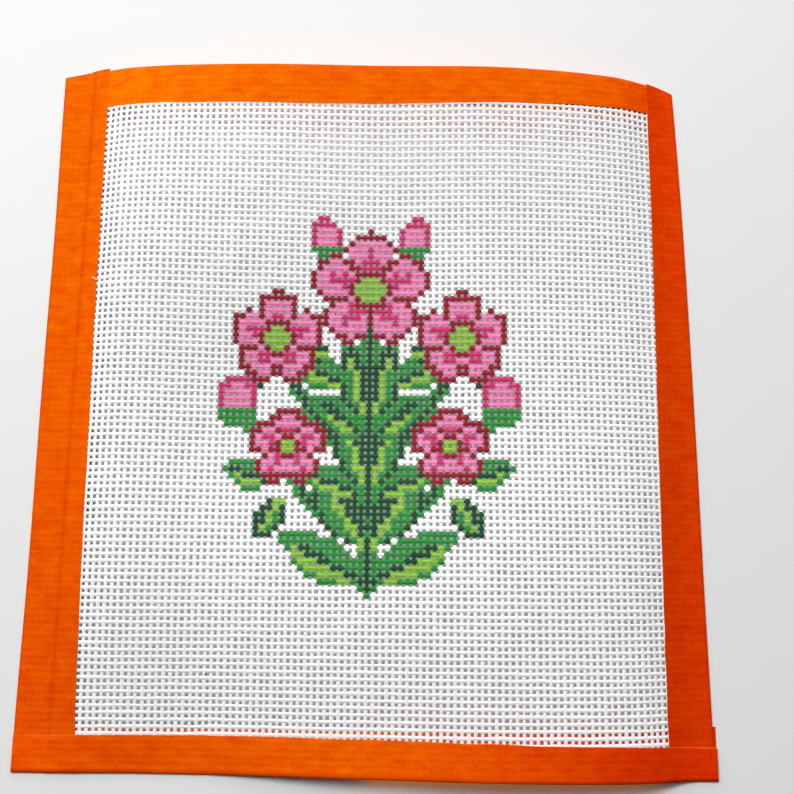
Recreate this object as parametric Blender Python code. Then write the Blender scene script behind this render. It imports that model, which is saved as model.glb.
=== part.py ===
"""A needlepoint canvas panel: one square of woven canvas whose four raw edges are bound with cloth tape.

Each strip of tape is folded over its edge and so is a U around the canvas. The panel lies on a table and
curls a little: its two sides lie flat and its middle arches up, most of all at the top.

Everything is first laid out flat, in millimetres: a runs across to the right, b runs up the panel and h is
the height over the canvas's middle plane. sheet_point() then puts a point on the curled sheet. The side
strips run to the panel's top, the top strip lies between them, and the bottom strip runs the full width.
"""

import bmesh
import bpy
import numpy as np

MM = 0.001

# Thicknesses, in millimetres
CANVAS_HALF = 0.5
TAPE = 1.0
GAP = 0.3
TAPE_INSIDE = CANVAS_HALF + GAP
TAPE_OUTSIDE = TAPE_INSIDE + TAPE
REST = TAPE_OUTSIDE

# Where the tape's folds lie: each strip is straight between its two ends
FOLD_LEFT = {"bottom": -101.3, "top": -101.3}
FOLD_RIGHT = {"bottom": 101.4, "top": 98.9}
FOLD_BOTTOM = {"left": -106.8, "right": -108.4}
FOLD_TOP = {"left": 108.9, "right": 106.6}
CANVAS_LEFT = -91.0
FOLD_ROOM = TAPE + GAP

# Where the front flaps end, in the same layout
FLAP_LEFT = {"bottom": -83.3, "middle": -84.6, "top": -85.5}
FLAP_RIGHT = {"bottom": 87.2, "middle": 88.3, "top": 89.8}
FLAP_BOTTOM = {"left": -96.5, "middle": -96.7, "right": -99.1}
FLAP_TOP = {"left": 96.1, "middle": 94.6, "right": 97.7}

# Where the back flaps end: some reach a little further in than the front ones, some stop short of them
BACK_LEFT = {"bottom": -87.3, "middle": -87.3, "top": -87.3}
BACK_RIGHT = {"bottom": 88.2, "middle": 89.3, "top": 90.8}
BACK_BOTTOM = {"left": -94.7, "middle": -94.7, "right": -93.4}
BACK_TOP = {"left": 96.6, "middle": 95.1, "right": 93.7}

# The side strips' cut ends slant: how high each one stands at its fold and at its front flap's edge
TOP_END_LEFT = {"fold": 107.5, "flap": 109.3}
TOP_END_RIGHT = {"fold": 104.2, "flap": 107.2}
END_COVER = 0.6

# The bottom strip's right end stands past the edge that it crosses
BOTTOM_PAST_RIGHT = 0.8

# The left strip reaches past the canvas, where its two layers lie on each other as a flange
FLANGE_TOP = 0.2
FLANGE_START = 2.6
CANVAS_SHOULDER = 0.8

# The curl: how high the sheet is lifted, in millimetres, on five lines across it, top line first
HALF_WIDTH = 100.6
HALF_LENGTH = 108.3
FLAT_SIDE = 0.97
STATIONS_ACROSS = (-0.78, -0.45, 0.0, 0.45, 0.78)
CURL_COLUMNS = ("along", "left", "left_middle", "middle", "right_middle", "right")
CURL = (
    (1.0, 5.1, 9.4, 10.7, 11.1, 6.1),
    (0.5, 6.1, 7.0, 4.1, 5.9, 3.5),
    (0.0, 4.9, 2.3, 2.9, 5.2, 3.4),
    (-0.5, 4.4, 3.4, 7.3, 7.8, 4.6),
    (-1.0, 0.0, 0.0, 4.8, 7.3, 4.9),
)
LENGTH_STEPS = 12
SLOPE_REACH = 0.05
NORMAL_REACH = 0.5

# How finely the pieces are divided
SIDE_STEP = 3.0
MIDDLE_STEPS = 18
ALONG_STEPS = 25
FOLD_STEPS = 6
FLAP_STEPS_ACROSS = 5
FLAP_STEPS_ALONG = 3

# The layout's origin is near the panel's middle; this moves the middle of its box onto the world's origin
CENTRE_X = 0.0
CENTRE_Y = 0.5

WHITE_CANVAS = (0.87, 0.87, 0.88, 1.0)
ORANGE_TAPE = (0.87, 0.11, 0.002, 1.0)


def between(line, start, end, u):
    """A value part of the way, u from 0 to 1, along a fold line."""
    return line[start] + (line[end] - line[start]) * u


def through(line, start, end, u):
    """The same for a flap's edge, which bends gently through its middle value."""
    first, middle, last = line[start], line["middle"], line[end]
    return first * (1 - u) * (1 - 2 * u) + middle * 4 * u * (1 - u) + last * u * (2 * u - 1)


def knot_slopes(knots, values):
    """The slope at each knot, from the chords on both sides of it; values has a row for each knot."""
    steps = np.diff(knots)
    chords = (np.diff(values, axis=0).T / steps).T
    share = steps[:-1] / (steps[:-1] + steps[1:])
    inner = (chords[:-1].T * (1 - share) + chords[1:].T * share).T
    return np.vstack([chords[:1], inner, chords[-1:]])


def smooth_curve(knots, values, slopes, x):
    """A cubic through the knots at each x, for every column of values."""
    i = np.clip(np.searchsorted(knots, x) - 1, 0, len(knots) - 2)
    step = (knots[i + 1] - knots[i])[:, None]
    t = (x - knots[i])[:, None] / step
    rise = values[i] + (values[i + 1] - values[i]) * t * t * (3 - 2 * t)
    return rise + step * t * (1 - t) * (slopes[i] * (1 - t) - slopes[i + 1] * t)


def curl_lines():
    """The knots across and along the sheet, and the lifts there, with flat sides added."""
    rows = [dict(zip(CURL_COLUMNS, row)) for row in reversed(CURL)]
    along = np.array([row["along"] for row in rows]) * HALF_LENGTH
    lifts = np.array([[row[name] for name in CURL_COLUMNS[1:]] for row in rows])
    flat = np.zeros((len(rows), 2))
    across = np.array((-1, -FLAT_SIDE, *STATIONS_ACROSS, FLAT_SIDE, 1)) * HALF_WIDTH
    values = np.hstack([flat, lifts, flat]).T
    slopes = knot_slopes(across, values)
    slopes[:2] = slopes[-2:] = 0
    return across, along, values, slopes


ACROSS, ALONG, LIFTS, SLOPES = curl_lines()


def lift(a, b):
    """How high the sheet is lifted at the flat layout's points; it never dips below the flat sides."""
    a = np.clip(a, -HALF_WIDTH, HALF_WIDTH)
    b = np.clip(b, -HALF_LENGTH, HALF_LENGTH)
    at_lines = smooth_curve(ACROSS, LIFTS, SLOPES, a).T
    slopes = knot_slopes(ALONG, at_lines)
    i = np.clip(np.searchsorted(ALONG, b) - 1, 0, len(ALONG) - 2)
    n = np.arange(len(b))
    step = ALONG[i + 1] - ALONG[i]
    t = (b - ALONG[i]) / step
    low, high = at_lines[i, n], at_lines[i + 1, n]
    rise = low + (high - low) * t * t * (3 - 2 * t)
    return np.maximum(rise + step * t * (1 - t) * (slopes[i, n] * (1 - t) - slopes[i + 1, n] * t), 0)


def drawn_in(a, b, across):
    """The share by which a point is drawn in towards the middle, because the sheet keeps its length."""
    total = np.zeros(len(a))
    for k in range(LENGTH_STEPS):
        f = (k + 0.5) / LENGTH_STEPS
        span = np.maximum(np.abs(a if across else b) / LENGTH_STEPS / 2, SLOPE_REACH)
        if across:
            slope = (lift(a * f + span, b) - lift(a * f - span, b)) / (2 * span)
        else:
            slope = (lift(a, b * f + span) - lift(a, b * f - span)) / (2 * span)
        total += slope**2 / 2 / LENGTH_STEPS
    return total


def middle_plane(a, b):
    x = a * (1 - drawn_in(a, b, True)) - CENTRE_X
    y = b * (1 - drawn_in(a, b, False)) - CENTRE_Y
    return np.stack([x, y, lift(a, b) + REST], axis=1)


def sheet_point(a, b, h):
    """Points on the curled sheet, in millimetres, h over its middle plane."""
    a, b, h = (np.asarray(v, float) for v in (a, b, h))
    along_a = middle_plane(a + NORMAL_REACH, b) - middle_plane(a - NORMAL_REACH, b)
    along_b = middle_plane(a, b + NORMAL_REACH) - middle_plane(a, b - NORMAL_REACH)
    normal = np.cross(along_a, along_b)
    normal /= np.linalg.norm(normal, axis=1)[:, None]
    return middle_plane(a, b) + normal * h[:, None]


def divisions_across(left, right, usual_right):
    """Where the sheet is divided across: finely at the sides, which roll down, and coarsely between."""
    roll = STATIONS_ACROSS[-1] * HALF_WIDTH
    left_count = round((-roll - left) / SIDE_STEP)
    right_count = round((usual_right - roll) / SIDE_STEP)
    left_part = np.linspace(left, -roll, left_count + 1)
    middle = np.linspace(-roll, roll, MIDDLE_STEPS + 1)
    right_part = np.linspace(roll, right, right_count + 1)
    return np.concatenate([left_part[:-1], middle, right_part[1:]])


def build(name, points, faces, material):
    """One closed body from points in millimetres."""
    mesh = bpy.data.meshes.new(name)
    mesh.from_pydata((points * MM).tolist(), [], faces)
    body = bmesh.new()
    body.from_mesh(mesh)
    bmesh.ops.recalc_face_normals(body, faces=body.faces)
    bmesh.ops.triangulate(body, faces=body.faces)
    body.to_mesh(mesh)
    body.free()
    mesh.shade_smooth()
    mesh.set_sharp_from_angle(angle=np.radians(40))
    mesh.materials.append(material)
    piece = bpy.data.objects.new(name, mesh)
    bpy.context.collection.objects.link(piece)
    return piece


def swept(name, sections, material):
    """A closed body through rings of points: one ring for each section, all with as many points."""
    rings, size = len(sections), len(sections[0])
    faces = []
    for i in range(rings - 1):
        for j in range(size):
            k = (j + 1) % size
            faces.append((i * size + j, i * size + k, (i + 1) * size + k, (i + 1) * size + j))
    faces += cap(0, size, False) + cap((rings - 1) * size, size, True)
    return build(name, np.vstack(sections), faces, material)


def cap(first, size, turned):
    """Closes a ring whose two halves run side by side, with a ladder of four-sided faces across it."""
    faces = []
    for j in range(size // 2 - 1):
        face = (first + j, first + j + 1, first + size - 2 - j, first + size - 1 - j)
        faces.append(tuple(reversed(face)) if turned else face)
    return faces


def strip_outline(front, back, flap_steps):
    """A folded strip's section, as distances in from its fold and heights.

    It runs along the outside from the front flap's edge round the fold to the back flap's edge, and
    returns along the inside, so that both sides have the same number of points.
    """
    to_fold = np.linspace(0, 1, flap_steps + 1)[:-1]
    angles = np.linspace(0, np.pi, FOLD_STEPS + 1)
    outer_front = np.stack([front + (TAPE - front) * to_fold, np.full(flap_steps, TAPE_OUTSIDE)], 1)
    outer_fold = np.stack([TAPE - TAPE * np.sin(angles), TAPE_OUTSIDE * np.cos(angles)], 1)
    outer_back = np.stack([back + (TAPE - back) * to_fold, np.full(flap_steps, -TAPE_OUTSIDE)], 1)
    inner_front = outer_front * (1, TAPE_INSIDE / TAPE_OUTSIDE)
    inner_fold = np.stack([np.full(len(angles), TAPE), TAPE_INSIDE * np.cos(angles)], 1)
    inner_back = outer_back * (1, TAPE_INSIDE / TAPE_OUTSIDE)
    outside = np.vstack([outer_front, outer_fold, outer_back[::-1]])
    inside = np.vstack([inner_front, inner_fold, inner_back[::-1]])
    return np.vstack([outside, inside[::-1]])


def flange_outline(fold, front, canvas_edge, back, flap_steps):
    """The left strip's section, as places across the sheet and heights.

    Its back layer is flat. Its front layer lies on the canvas, steps down past the canvas's edge and lies on
    the back layer from there to the fold.
    """
    wall = canvas_edge - GAP
    to_wall = np.linspace(0, 1, flap_steps + 1)
    thickness = (FLANGE_TOP + TAPE_OUTSIDE) / 2
    middle = FLANGE_TOP - thickness
    step_a = np.array([wall - FLANGE_START, (wall - FLANGE_START + fold) / 2, fold + thickness])
    angles = np.linspace(0, np.pi, FOLD_STEPS + 1)[1:-1]
    fold_a = fold + thickness - thickness * np.sin(angles)
    outer_a = np.concatenate([
        front + (wall - CANVAS_SHOULDER - front) * to_wall, step_a, fold_a,
        step_a[::-1], back + (wall - back) * to_wall[::-1],
    ])
    outer_h = np.concatenate([
        np.full(flap_steps + 1, TAPE_OUTSIDE), np.full(3, FLANGE_TOP), middle + thickness * np.cos(angles),
        np.full(3, -TAPE_OUTSIDE), np.full(flap_steps + 1, -TAPE_OUTSIDE),
    ])
    turn = len(step_a) * 2 + len(angles)
    inner_a = np.concatenate([
        front + (wall - front) * to_wall, np.full(turn, wall), back + (wall - back) * to_wall[::-1],
    ])
    inner_h = np.concatenate([
        np.full(flap_steps + 1, TAPE_INSIDE), np.linspace(TAPE_INSIDE, -TAPE_INSIDE, turn + 2)[1:-1],
        np.full(flap_steps + 1, -TAPE_INSIDE),
    ])
    outside = np.stack([outer_a, outer_h], 1)
    inside = np.stack([inner_a, inner_h], 1)
    return np.vstack([outside, inside[::-1]])


def end_at(heights, front_end, back_end):
    """Where a strip's cut end lies at each height: the front and the back flap stop at different places."""
    share = np.clip((heights - FLANGE_TOP) / (TAPE_INSIDE - FLANGE_TOP), 0, 1)
    return back_end + (front_end - back_end) * share


def part_across(a):
    return (a + HALF_WIDTH) / (2 * HALF_WIDTH)


def part_along(b):
    return (b + HALF_LENGTH) / (2 * HALF_LENGTH)


def slanted_end(line, fold, flap, a):
    return line["fold"] + (line["flap"] - line["fold"]) * (a - fold) / (flap - fold)


def top_fold(a):
    return between(FOLD_TOP, "left", "right", part_across(a))


def top_flap(a):
    return through(FLAP_TOP, "left", "right", part_across(a))


def top_back(a):
    return through(BACK_TOP, "left", "right", part_across(a))


def bottom_fold(a):
    return between(FOLD_BOTTOM, "left", "right", part_across(a))


def bottom_flap(a):
    return through(FLAP_BOTTOM, "left", "right", part_across(a))


def bottom_back(a):
    return through(BACK_BOTTOM, "left", "right", part_across(a))


def left_fold(b):
    return between(FOLD_LEFT, "bottom", "top", part_along(b))


def left_flap(b):
    return through(FLAP_LEFT, "bottom", "top", part_along(b))


def left_back(b):
    return through(BACK_LEFT, "bottom", "top", part_along(b))


def left_end(a):
    return slanted_end(TOP_END_LEFT, FOLD_LEFT["top"], FLAP_LEFT["top"], a)


def right_fold(b):
    return between(FOLD_RIGHT, "bottom", "top", part_along(b))


def right_flap(b):
    return through(FLAP_RIGHT, "bottom", "top", part_along(b))


def right_back(b):
    return through(BACK_RIGHT, "bottom", "top", part_along(b))


def right_end(a):
    return slanted_end(TOP_END_RIGHT, FOLD_RIGHT["top"], FLAP_RIGHT["top"], a)


def canvas(material):
    """The woven canvas, cut a little inside the tape's folds; its left edge stops short of that fold."""
    rows = np.linspace(-1, 1, ALONG_STEPS + 1)
    grids = {}
    for side, h in (("front", CANVAS_HALF), ("back", -CANVAS_HALF)):
        lines = []
        for row in rows:
            share = (row + 1) / 2
            right = right_fold(row * HALF_LENGTH) - FOLD_ROOM
            a = divisions_across(CANVAS_LEFT, right, HALF_WIDTH - FOLD_ROOM)
            low = bottom_fold(a) + FOLD_ROOM
            high = np.minimum(top_fold(a) - FOLD_ROOM, np.minimum(left_end(a), right_end(a)) - END_COVER)
            lines.append(sheet_point(a, low + (high - low) * share, np.full(len(a), h)))
        grids[side] = np.array(lines)
    down, across = grids["front"].shape[:2]
    front = np.arange(down * across).reshape(down, across)
    back = front + down * across
    faces = []
    for i in range(down - 1):
        for j in range(across - 1):
            faces.append((front[i, j], front[i, j + 1], front[i + 1, j + 1], front[i + 1, j]))
            faces.append((back[i, j], back[i + 1, j], back[i + 1, j + 1], back[i, j + 1]))
    rim = [*front[0, :-1], *front[:-1, -1], *front[-1, :0:-1], *front[:0:-1, 0]]
    for first, second in zip(rim, rim[1:] + rim[:1]):
        below = down * across
        faces.append((second, first, first + below, second + below))
    points = np.vstack([grids["front"].reshape(-1, 3), grids["back"].reshape(-1, 3)])
    return build("canvas", points, [tuple(int(v) for v in face) for face in faces], material)


def level_strip(name, fold, flap, back, ends, material):
    """The top or the bottom strip; ends holds, for each end, where its front and its back flap stop."""
    (left_front, left_back), (right_front, right_back) = ends
    stations = divisions_across(left_front, right_front, right_front)
    sections = []
    for i, a in enumerate(stations):
        edge = fold(a)
        inward = np.sign(flap(a) - edge)
        outline = strip_outline(abs(flap(a) - edge), abs(back(a) - edge), FLAP_STEPS_ALONG)
        h = outline[:, 1]
        if i == 0:
            places = end_at(h, left_front, left_back)
        elif i == len(stations) - 1:
            places = end_at(h, right_front, right_back)
        else:
            low, high = end_at(h, left_front, left_back), end_at(h, right_front, right_back)
            places = low + (high - low) * (a - left_front) / (right_front - left_front)
        sections.append(sheet_point(places, edge + inward * outline[:, 0], h))
    return swept(name, sections, material)


def upright_strip(name, outline_at, starts, end, material):
    """The left or the right strip, from where its front and back flaps start to its slanting top end."""
    front_start, back_start = starts
    sections = []
    for share in np.linspace(0, 1, ALONG_STEPS + 1):
        outline = outline_at(front_start + (HALF_LENGTH - front_start) * share)
        start = end_at(outline[:, 1], front_start, back_start)
        places = start + (end(outline[:, 0]) - start) * share
        sections.append(sheet_point(outline[:, 0], places, outline[:, 1]))
    return swept(name, sections, material)


def top_strip(material):
    """The top strip lies between the side strips, a gap away from their flaps at the front and the back."""
    left, right, behind = left_flap(HALF_LENGTH), right_flap(HALF_LENGTH), right_back(HALF_LENGTH)
    ends = ((left + 2 * GAP, left + 2 * GAP), (right - 2 * GAP, behind - 2 * GAP))
    return level_strip("tape_top", top_fold, top_flap, top_back, ends, material)


def bottom_strip(material):
    left, right = left_fold(-HALF_LENGTH), right_fold(-HALF_LENGTH) + BOTTOM_PAST_RIGHT
    ends = ((left, left), (right, right))
    return level_strip("tape_bottom", bottom_fold, bottom_flap, bottom_back, ends, material)


def side_starts(fold, flap):
    """Where a side strip's front and back flaps start: a gap above those of the bottom strip."""
    reach = np.linspace(fold, flap, 5)
    return max(bottom_flap(reach)) + 2 * GAP, max(bottom_back(reach)) + 2 * GAP


def left_strip(material):
    def outline_at(b):
        return flange_outline(left_fold(b), left_flap(b), CANVAS_LEFT, left_back(b), FLAP_STEPS_ALONG)

    starts = side_starts(FOLD_LEFT["bottom"], FLAP_LEFT["bottom"])
    return upright_strip("tape_left", outline_at, starts, left_end, material)


def right_strip(material):
    def outline_at(b):
        edge = right_fold(b)
        outline = strip_outline(edge - right_flap(b), edge - right_back(b), FLAP_STEPS_ACROSS)
        return np.stack([edge - outline[:, 0], outline[:, 1]], 1)

    starts = side_starts(FOLD_RIGHT["bottom"], FLAP_RIGHT["bottom"])
    return upright_strip("tape_right", outline_at, starts, right_end, material)


def cloth(name, color, roughness):
    material = bpy.data.materials.new(name)
    material.use_nodes = True
    shader = material.node_tree.nodes["Principled BSDF"]
    shader.inputs["Base Color"].default_value = color
    shader.inputs["Roughness"].default_value = roughness
    shader.inputs["Metallic"].default_value = 0.0
    material.diffuse_color = color
    return material


for old in list(bpy.data.objects):
    bpy.data.objects.remove(old, do_unlink=True)

canvas(cloth("canvas", WHITE_CANVAS, 0.85))
for strip in (top_strip, bottom_strip, left_strip, right_strip):
    strip(cloth(strip.__name__, ORANGE_TAPE, 0.7))
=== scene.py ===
import math

import bpy
import numpy as np
from mathutils import Euler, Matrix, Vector


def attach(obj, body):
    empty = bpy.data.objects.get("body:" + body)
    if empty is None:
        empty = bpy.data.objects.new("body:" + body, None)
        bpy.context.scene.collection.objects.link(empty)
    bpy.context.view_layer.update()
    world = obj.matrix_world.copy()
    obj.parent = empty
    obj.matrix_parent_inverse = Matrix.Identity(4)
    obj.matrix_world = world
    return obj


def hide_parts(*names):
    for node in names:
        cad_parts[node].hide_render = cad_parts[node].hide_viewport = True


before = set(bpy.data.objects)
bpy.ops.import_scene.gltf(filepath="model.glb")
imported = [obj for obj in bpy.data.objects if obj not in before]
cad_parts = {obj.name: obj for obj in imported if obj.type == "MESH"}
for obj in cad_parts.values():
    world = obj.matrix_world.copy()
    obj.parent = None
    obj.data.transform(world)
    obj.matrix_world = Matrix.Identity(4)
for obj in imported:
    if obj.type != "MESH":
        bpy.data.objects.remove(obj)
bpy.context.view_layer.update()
mm = 0.001  # lengths below are in millimetres unless a line says otherwise


# The lie of the cloth: a runs across, b runs up the panel, and h is the height over its middle plane.

lie = {
    "halfWidth": 100.6,
    "halfLength": 108.3,
    "flatSide": 0.97,  # the share of the half width from which the sides lie flat
    "stations": (-0.78, -0.45, 0.0, 0.45, 0.78),
    "lines": (1.0, 0.5, 0.0, -0.5, -1.0),  # up the panel, top line first
    "lifts": (
        (5.1, 9.4, 10.7, 11.1, 6.1),
        (6.1, 7.0, 4.1, 5.9, 3.5),
        (4.9, 2.3, 2.9, 5.2, 3.4),
        (4.4, 3.4, 7.3, 7.8, 4.6),
        (0.0, 0.0, 4.8, 7.3, 4.9),
    ),
    "middlePlane": 0.45,  # over the table where the sheet lies flat, on its thin tape
    "centreY": 0.5,  # the layout's origin is this much below the middle of the box
    "lengthSteps": 12,  # the steps in which the cloth's length is added up, and their least half width
    "leastSpan": 0.05,
    "reach": 0.5,  # how far to each side the sheet's direction is read
}


def knotSlopes(knots, values):
    steps = np.diff(knots)
    chords = (np.diff(values, axis=0).T / steps).T
    share = steps[:-1] / (steps[:-1] + steps[1:])
    inner = (chords[:-1].T * (1 - share) + chords[1:].T * share).T
    return np.vstack([chords[:1], inner, chords[-1:]])


def curlKnots():
    across = np.array((-1, -lie["flatSide"], *lie["stations"], lie["flatSide"], 1)) * lie["halfWidth"]
    along = np.array(lie["lines"][::-1]) * lie["halfLength"]
    flat = np.zeros((len(along), 2))
    values = np.hstack([flat, np.array(lie["lifts"][::-1]), flat]).T
    slopes = knotSlopes(across, values)
    slopes[:2] = slopes[-2:] = 0
    return across, along, values, slopes


acrossKnots, alongKnots, liftValues, liftSlopes = curlKnots()


def hermite(low, high, slopeLow, slopeHigh, step, t):
    between = low + (high - low) * t * t * (3 - 2 * t)
    return between + step * t * (1 - t) * (slopeLow * (1 - t) - slopeHigh * t)


def lift(a, b):
    a = np.clip(a, -lie["halfWidth"], lie["halfWidth"])
    b = np.clip(b, -lie["halfLength"], lie["halfLength"])
    i = np.clip(np.searchsorted(acrossKnots, a) - 1, 0, len(acrossKnots) - 2)
    step = acrossKnots[i + 1] - acrossKnots[i]
    t = (a - acrossKnots[i]) / step
    atLines = hermite(liftValues[i].T, liftValues[i + 1].T, liftSlopes[i].T, liftSlopes[i + 1].T, step, t)
    slopes = knotSlopes(alongKnots, atLines)
    i = np.clip(np.searchsorted(alongKnots, b) - 1, 0, len(alongKnots) - 2)
    n = np.arange(len(b))
    step = alongKnots[i + 1] - alongKnots[i]
    t = (b - alongKnots[i]) / step
    return np.maximum(hermite(atLines[i, n], atLines[i + 1, n], slopes[i, n], slopes[i + 1, n], step, t), 0)


def middlePlane(a, b):
    # the cloth keeps its length, so where it slopes its points are drawn in towards the middle
    shortA, shortB = np.zeros(len(a)), np.zeros(len(b))
    for k in range(lie["lengthSteps"]):
        f = (k + 0.5) / lie["lengthSteps"]
        spanA = np.maximum(np.abs(a) / lie["lengthSteps"] / 2, lie["leastSpan"])
        spanB = np.maximum(np.abs(b) / lie["lengthSteps"] / 2, lie["leastSpan"])
        slopeA = (lift(a * f + spanA, b) - lift(a * f - spanA, b)) / (2 * spanA)
        slopeB = (lift(a, b * f + spanB) - lift(a, b * f - spanB)) / (2 * spanB)
        shortA += slopeA**2 / 2 / lie["lengthSteps"]
        shortB += slopeB**2 / 2 / lie["lengthSteps"]
    return np.stack([a * (1 - shortA), b * (1 - shortB) - lie["centreY"], lift(a, b) + lie["middlePlane"]], 1)


def unit(vectors):
    return vectors / np.linalg.norm(vectors, axis=-1, keepdims=True)


def layOut(a, b):
    # each point of the middle plane, with the directions across, up the panel and out of it there
    a, b = np.asarray(a, float).ravel(), np.asarray(b, float).ravel()
    reach = lie["reach"]
    right = unit(middlePlane(a + reach, b) - middlePlane(a - reach, b))
    upward = unit(middlePlane(a, b + reach) - middlePlane(a, b - reach))
    return middlePlane(a, b), right, upward, unit(np.cross(right, upward))


def smoothStep(x, start, end):
    t = np.clip((x - start) / (end - start), 0, 1)
    return t * t * (3 - 2 * t)


def meshFrom(name, points, faces, flatFaces=()):
    # points in millimetres; faces is a list of (count, corners) arrays, and flatFaces says which are caps
    mesh = bpy.data.meshes.new(name)
    corners = np.concatenate([f.ravel() for f in faces])
    sizes = np.concatenate([np.full(len(f), f.shape[1]) for f in faces])
    mesh.vertices.add(len(points))
    mesh.vertices.foreach_set("co", (points * mm).astype(np.float32).ravel())
    mesh.loops.add(len(corners))
    mesh.loops.foreach_set("vertex_index", corners.astype(np.int32))
    mesh.polygons.add(len(sizes))
    mesh.polygons.foreach_set("loop_start", np.concatenate([[0], np.cumsum(sizes)[:-1]]).astype(np.int32))
    smooth = np.concatenate([np.full(len(f), i not in flatFaces) for i, f in enumerate(faces)])
    mesh.polygons.foreach_set("use_smooth", smooth)
    mesh.update(calc_edges=True)
    piece = bpy.data.objects.new(name, mesh)
    bpy.context.collection.objects.link(piece)
    return piece


def giveUv(piece, name, coordinates):
    # one coordinate pair for each point, copied to the faces' corners
    corners = np.zeros(len(piece.data.loops), np.int32)
    piece.data.loops.foreach_get("vertex_index", corners)
    layer = piece.data.uv_layers.new(name=name)
    layer.data.foreach_set("uv", coordinates[corners].astype(np.float32).ravel())


def trianglesOf(piece):
    return sum(len(p.vertices) - 2 for p in piece.data.polygons)


# The tape's lines, which the canvas is cut to and the strips are folded on.

tape = {
    "thick": 0.10,
    "foldLeft": (-101.3, -101.3),  # bottom and top
    "foldRight": (101.4, 98.9),
    "foldBottom": (-106.8, -108.4),  # left and right
    "foldTop": (108.9, 106.6),
    "flapLeft": (-83.3, -84.6, -85.5),  # bottom, middle and top
    "flapRight": (87.2, 88.3, 89.8),
    "flapBottom": (-96.5, -96.7, -99.1),  # left, middle and right
    "flapTop": (96.0, 95.5, 97.0),
    "backLeft": (-87.3, -87.3, -87.3),
    "backRight": (88.2, 89.3, 90.8),
    "backBottom": (-94.7, -94.7, -93.4),
    "backTop": (96.6, 95.1, 93.7),
    "endLeft": (107.5, 109.3),  # a side strip's slanting top end: at its fold and at its front flap's edge
    "endRight": (104.2, 106.9),
    "endBow": 0.6,  # how far that end bows up between the two
    "pastRight": 0.8,  # how far the bottom strip stands past the right one
}


def foldLine(name, place, half):
    u = (place + half) / (2 * half)
    return tape[name][0] + (tape[name][1] - tape[name][0]) * u


def flapLine(name, place, half):
    u = (place + half) / (2 * half)
    first, middle, last = tape[name]
    return first * (1 - u) * (1 - 2 * u) + middle * 4 * u * (1 - u) + last * u * (2 * u - 1)


def topFold(a):
    return foldLine("foldTop", a, lie["halfWidth"])


def bottomFold(a):
    return foldLine("foldBottom", a, lie["halfWidth"])


def leftFold(b):
    return foldLine("foldLeft", b, lie["halfLength"])


def rightFold(b):
    return foldLine("foldRight", b, lie["halfLength"])


def topFlap(a):
    return flapLine("flapTop", a, lie["halfWidth"])


def bottomFlap(a):
    return flapLine("flapBottom", a, lie["halfWidth"])


def leftFlap(b):
    return flapLine("flapLeft", b, lie["halfLength"])


def rightFlap(b):
    return flapLine("flapRight", b, lie["halfLength"])


def topBack(a):
    return flapLine("backTop", a, lie["halfWidth"])


def bottomBack(a):
    return flapLine("backBottom", a, lie["halfWidth"])


def leftBack(b):
    return flapLine("backLeft", b, lie["halfLength"])


def rightBack(b):
    return flapLine("backRight", b, lie["halfLength"])


def sideEnd(side, a):
    # how far up a side strip reaches
    fold, flap = tape["fold" + side][1], tape["flap" + side][2]
    first, last = tape["end" + side]
    share = (a - fold) / (flap - fold)
    within = np.clip(share, 0, 1)
    return first + (last - first) * share + tape["endBow"] * 4 * within * (1 - within)


# The painted design: a mirrored flowering sprig, counted in threads from the middle of the canvas.

design = {
    "middle": (58, 64),  # the thread across and the row that cross in the design's middle
    "blossoms": (
        # x, y, radius
        (0, 18.5, 9.6),
        (14.5, 10.5, 7.6),
        (12.5, -6.5, 6.2),
    ),
    "buds": (
        # x, y, radius
        (20.5, 0.5, 2.7),
        (7.2, 27.0, 2.0),
    ),
    "stems": (
        # x and y at the start, the middle and the end
        ((0, -28), (0, -8), (0, 12)),
        ((0, -9), (8, -2), (13.5, 7)),
        ((0, -19), (7, -17), (12, -10)),
        ((5, -5), (14, -6), (20, -1.5)),
        ((0, 4), (5, 14), (7, 25)),
    ),
    "leaves": (
        # x, y, direction in degrees from straight up, length, half width, and the shade of its blade
        (0.5, -27, 62, 15, 3.1, "green"),
        (0.5, -22, 34, 15, 3.0, "dark"),
        (1, -14, 68, 11, 2.4, "green"),
        (0.5, -13, 18, 13, 2.6, "dark"),
        (1, -5, 48, 10, 2.3, "green"),
        (1, -2, 12, 12, 2.4, "dark"),
        (3, 3, 66, 11, 2.3, "green"),
        (13, -14, 150, 8, 2.0, "dark"),
        (15, -12, 72, 8, 2.0, "green"),
        (6.5, 8.5, 95, 6, 1.7, "dark"),
        (17, 2.5, 20, 7, 1.7, "green"),
    ),
    "stemEdge": 1.05,  # half widths of a stem and of its darker middle
    "stemMiddle": 0.45,
    "leafTaper": 0.85,  # under 1 puts a leaf's widest place nearer its foot
    "leafRim": 0.8,
    "leafVein": 0.5,
    "budRim": 0.7,
    "petals": 5,
    "petalDip": 0.34,  # how far the rim dips between two petals, as a share of the radius
    "petalRound": 0.55,
    "petalOutline": 1.15,
    "heart": 0.34,  # shares of the radius
    "eye": 0.24,
    "paints": {
        # red, green and blue as seen, 0 to 255
        "pink": (243, 130, 182),
        "deep": (205, 42, 106),
        "wine": (146, 12, 36),
        "dark": (12, 74, 36),
        "green": (34, 140, 52),
        "lime": (136, 194, 56),
    },
}


def linear(colour):
    c = np.array(colour, float) / 255
    return np.where(c <= 0.04045, c / 12.92, ((c + 0.055) / 1.055) ** 2.4)


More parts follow.
